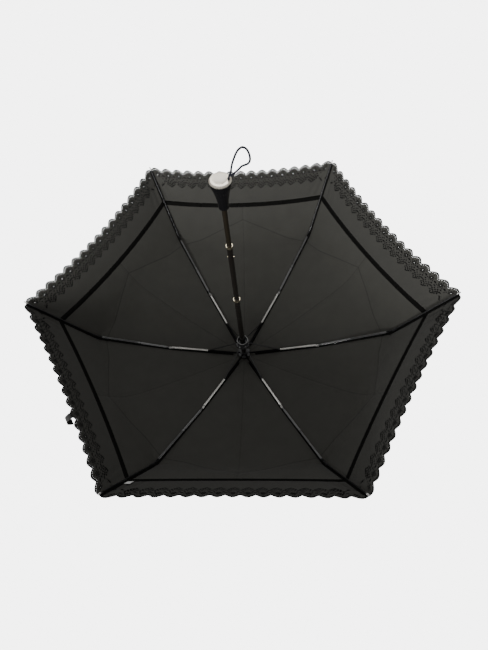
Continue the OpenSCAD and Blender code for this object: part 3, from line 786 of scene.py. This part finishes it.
ring_sides = 9
wire_sides = 5
ring_points, ring_faces = [], []
for x, y, radius in [(*spot, rim_eyelet) for spot in rim_spots] + [(*flower, flower_eyelet)]:
    start = len(ring_points)
    for t in np.arange(ring_sides) / ring_sides * 2 * math.pi:
        for s in np.arange(wire_sides) / wire_sides * 2 * math.pi:
            reach = radius + eyelet_wire * 0.7 + eyelet_wire * math.cos(s)
            ring_points.append((x + reach * math.cos(t) / scallop_pitch, y + reach * math.sin(t),
                                0.0007 * math.sin(s)))
    for i in range(ring_sides):
        near, far = start + i * wire_sides, start + (i + 1) % ring_sides * wire_sides
        ring_faces += [(near + j, near + (j + 1) % wire_sides, far + (j + 1) % wire_sides, far + j)
                       for j in range(wire_sides)]
petal_turn = np.arange(6) / 6 * 2 * math.pi
spots = [(0.0040 * math.cos(t), flower[1] + 0.0040 * math.sin(t)) for t in petal_turn]
spots += [(0.0080 * math.cos(t + 0.52), flower[1] + 0.0076 * math.sin(t + 0.52)) for t in petal_turn]
sizes = [(0.0028, 0.0019, 0.0009)] * 6 + [(0.0019, 0.0016, 0.0008)] * 6
turns = list(petal_turn) * 2
for x, y, turn in leaf_spray:
    spots.append((x / 1000, y))
    sizes.append((0.0027, 0.0019, 0.0009))
    turns.append(turn)
blob_points, blob_faces = blobs(spots, *zip(*sizes), turns)
blob_points[:, 0] /= scallop_pitch
hem_x = np.linspace(-0.5, 0.5, 13)
hem_loop = np.array([(0.9, 0), (0.45, 0.8), (-0.45, 0.8), (-0.9, 0), (-0.45, -0.8), (0.45, -0.8)]) * 0.001
hem_points = np.array([(x, float(hem_at(x)) - 0.0005 + a, b) for x in hem_x for a, b in hem_loop])
hem_faces = round_faces(len(hem_x), len(hem_loop), capped=False)
band_section = ((-0.0054, 0.0003), (-0.0048, 0.0009), (0.0048, 0.0009), (0.0054, 0.0003), (0.0048, -0.0006),
                (-0.0048, -0.0006))
stitch_spots = [((j + 0.5) / 6 * scallop_pitch - scallop_pitch / 2, y) for y in (-0.0040, 0.0040)
                for j in range(6)]
stitch_count = len(stitch_spots)
seam_stitches, seam_faces = blobs(stitch_spots, [0.0019] * stitch_count, [0.0005] * stitch_count,
                                  [0.0012] * stitch_count, [0.0] * stitch_count, 5)
seam_stitches[:, 0] /= scallop_pitch

band_cloth = finish_of("band_cloth", (0.0035, 0.0035, 0.003), 0.8, grain=1500, bump=0.3, specular=0.08)
border_cloth = weave_of("border_cloth", (0.043, 0.042, 0.037), 0.72, 0.0006, 0.1, 0.25)
satin_thread = finish_of("satin_thread", (0.002, 0.002, 0.002), 0.5, grain=2500, bump=0.5, specular=0.1,
                         stretch=(1, 1, 0.3))


def gathered_parts(parts):
    """Joins lists of points and faces to one."""
    points, faces, count = [], [], 0
    for some_points, some_faces in parts:
        points.append(some_points)
        faces += [tuple(count + i for i in face) for face in some_faces]
        count += len(some_points)
    return np.concatenate(points), faces


def seam_band(gore, first, last):
    """The narrow folded band over the seam between the gore and its border."""
    v = np.linspace(first, last, (last - first) * columns_per_scallop + 1) / scallops
    rows = [canopy(gore, 3.0 + d / border_depth, v, lift=h) for d, h in band_section]
    return np.stack(rows, 1).reshape(-1, 3), round_faces(len(v), len(band_section))


plain_rows = np.linspace(0.0, plain_depth, 9)
for gore in range(1, 7):
    for part in range(4):
        first, last = strip_cuts[part], strip_cuts[part + 1]
        columns = np.arange(first * columns_per_scallop, last * columns_per_scallop + 1)
        x, y = np.meshgrid(columns / columns_per_scallop, plain_rows, indexing="ij")
        plain = np.stack([x.ravel() - 0.5, y.ravel(), np.zeros(x.size)], 1)
        parts = [(border_points(gore, 0, plain), grid_faces(*x.shape))]
        parts += [(border_points(gore, s, tile_points), tile_faces) for s in range(first, last)]
        points, faces = gathered_parts(parts)
        tiles_flat = [tile_points[:, :2] + (s, 0) for s in range(first, last)]
        flat = np.concatenate([plain[:, :2]] + tiles_flat) * (scallop_pitch, 1)
        border = new_piece(f"lace_border_{gore}_{part + 1}", points, faces, flat)
        joined = bmesh.new()
        joined.from_mesh(border.data)
        bmesh.ops.remove_doubles(joined, verts=joined.verts, dist=0.00003)
        bmesh.ops.recalc_face_normals(joined, faces=joined.faces)
        joined.to_mesh(border.data)
        joined.free()
        thicken(border, 0.0004)
        dress(border, border_cloth)
        gather(border)
        work = []
        for s in range(first, last):
            work.append((border_points(gore, s, np.array(ring_points)), ring_faces))
            work.append((border_points(gore, s, blob_points), blob_faces))
            work.append((border_points(gore, s, hem_points), hem_faces))
        embroidery = new_piece(f"embroidery_{gore}_{part + 1}", *gathered_parts(work))
        outwards(embroidery)
        dress(embroidery, satin_thread)
        gather(embroidery)
        band = new_piece(f"seam_band_{gore}_{part + 1}", *seam_band(gore, first, last))
        outwards(band)
        dress(band, band_cloth)
        gather(band)
        stitches = new_piece(f"seam_stitches_{gore}_{part + 1}", *gathered_parts(
            [(border_points(gore, s, seam_stitches), seam_faces) for s in range(first, last)]))
        outwards(stitches)
        dress(stitches, seam_thread)
        gather(stitches)
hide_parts("lace_border")

# Tie strap: a narrow ribbon sewn in a loop to the outside of the border. It
# wraps round the closed canopy.
strap_low, strap_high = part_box("tie_strap")
strap_middle = (strap_low + strap_high) / 2
strap_azimuth = math.radians(330)
strap_turn = (Matrix.Rotation(strap_azimuth, 3, "Z") @ Matrix.Rotation(math.radians(28), 3, "Y")
              @ Matrix.Rotation(math.radians(90), 3, "X"))
strap_radius = 0.0135
strap_half_width = 0.006
arc = np.radians(np.linspace(-90, 90, 37))
strap_widths = np.linspace(-strap_half_width, strap_half_width, 9)
strap_grid = []
for t in arc:
    for h in strap_widths:
        hem = 0.00025 if abs(h) > 0.005 else 0
        reach = strap_radius + hem + 0.0004 * math.sin(3 * t)
        strap_grid.append(strap_turn @ Vector((reach * math.cos(t), reach * math.sin(t), h)))
strap_grid = np.array([tuple(p) for p in strap_grid])
strap_grid += np.array(strap_middle) - (strap_grid.min(0) + strap_grid.max(0)) / 2
strap_flat = [((t + math.pi / 2) * strap_radius, h) for t in arc for h in strap_widths]
strap = new_piece("tie_strap_ribbon", strap_grid, grid_faces(len(arc), len(strap_widths)), strap_flat)
thicken(strap, 0.0008)
ribbon_cloth = weave_of("ribbon_cloth", (0.012, 0.012, 0.011), 0.7, 0.0008, 0.1, 0.3)
dress(strap, ribbon_cloth)
gather(strap)
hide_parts("tie_strap")

# Care label: a small blank white tag of woven tape. It is sewn in beside one
# rib, just outside the border seam.
label_start, label_end = 3.10, 3.26
label_u, label_away = np.meshgrid(np.linspace(label_start, label_end, 7), np.linspace(0.0046, 0.0148, 6),
                                  indexing="ij")
label_v = 1 - label_away / np.interp(label_u, range(5), rib_line_r)
label_bulge = np.sin((label_u - label_start) / (label_end - label_start) * math.pi)
label_points = canopy(4, label_u, label_v, lift=-0.0010 - 0.0006 * label_bulge)
label = new_piece("care_label", label_points.reshape(-1, 3), grid_faces(*label_u.shape),
                  np.stack([label_away, label_u * border_depth], -1).reshape(-1, 2))
thicken(label, 0.0003)
white_tape = weave_of("white_tape", (0.82, 0.82, 0.80), 0.7, 0.0005, 0.0, 0.3, spread=0.03)
dress(label, white_tape)
gather(label)
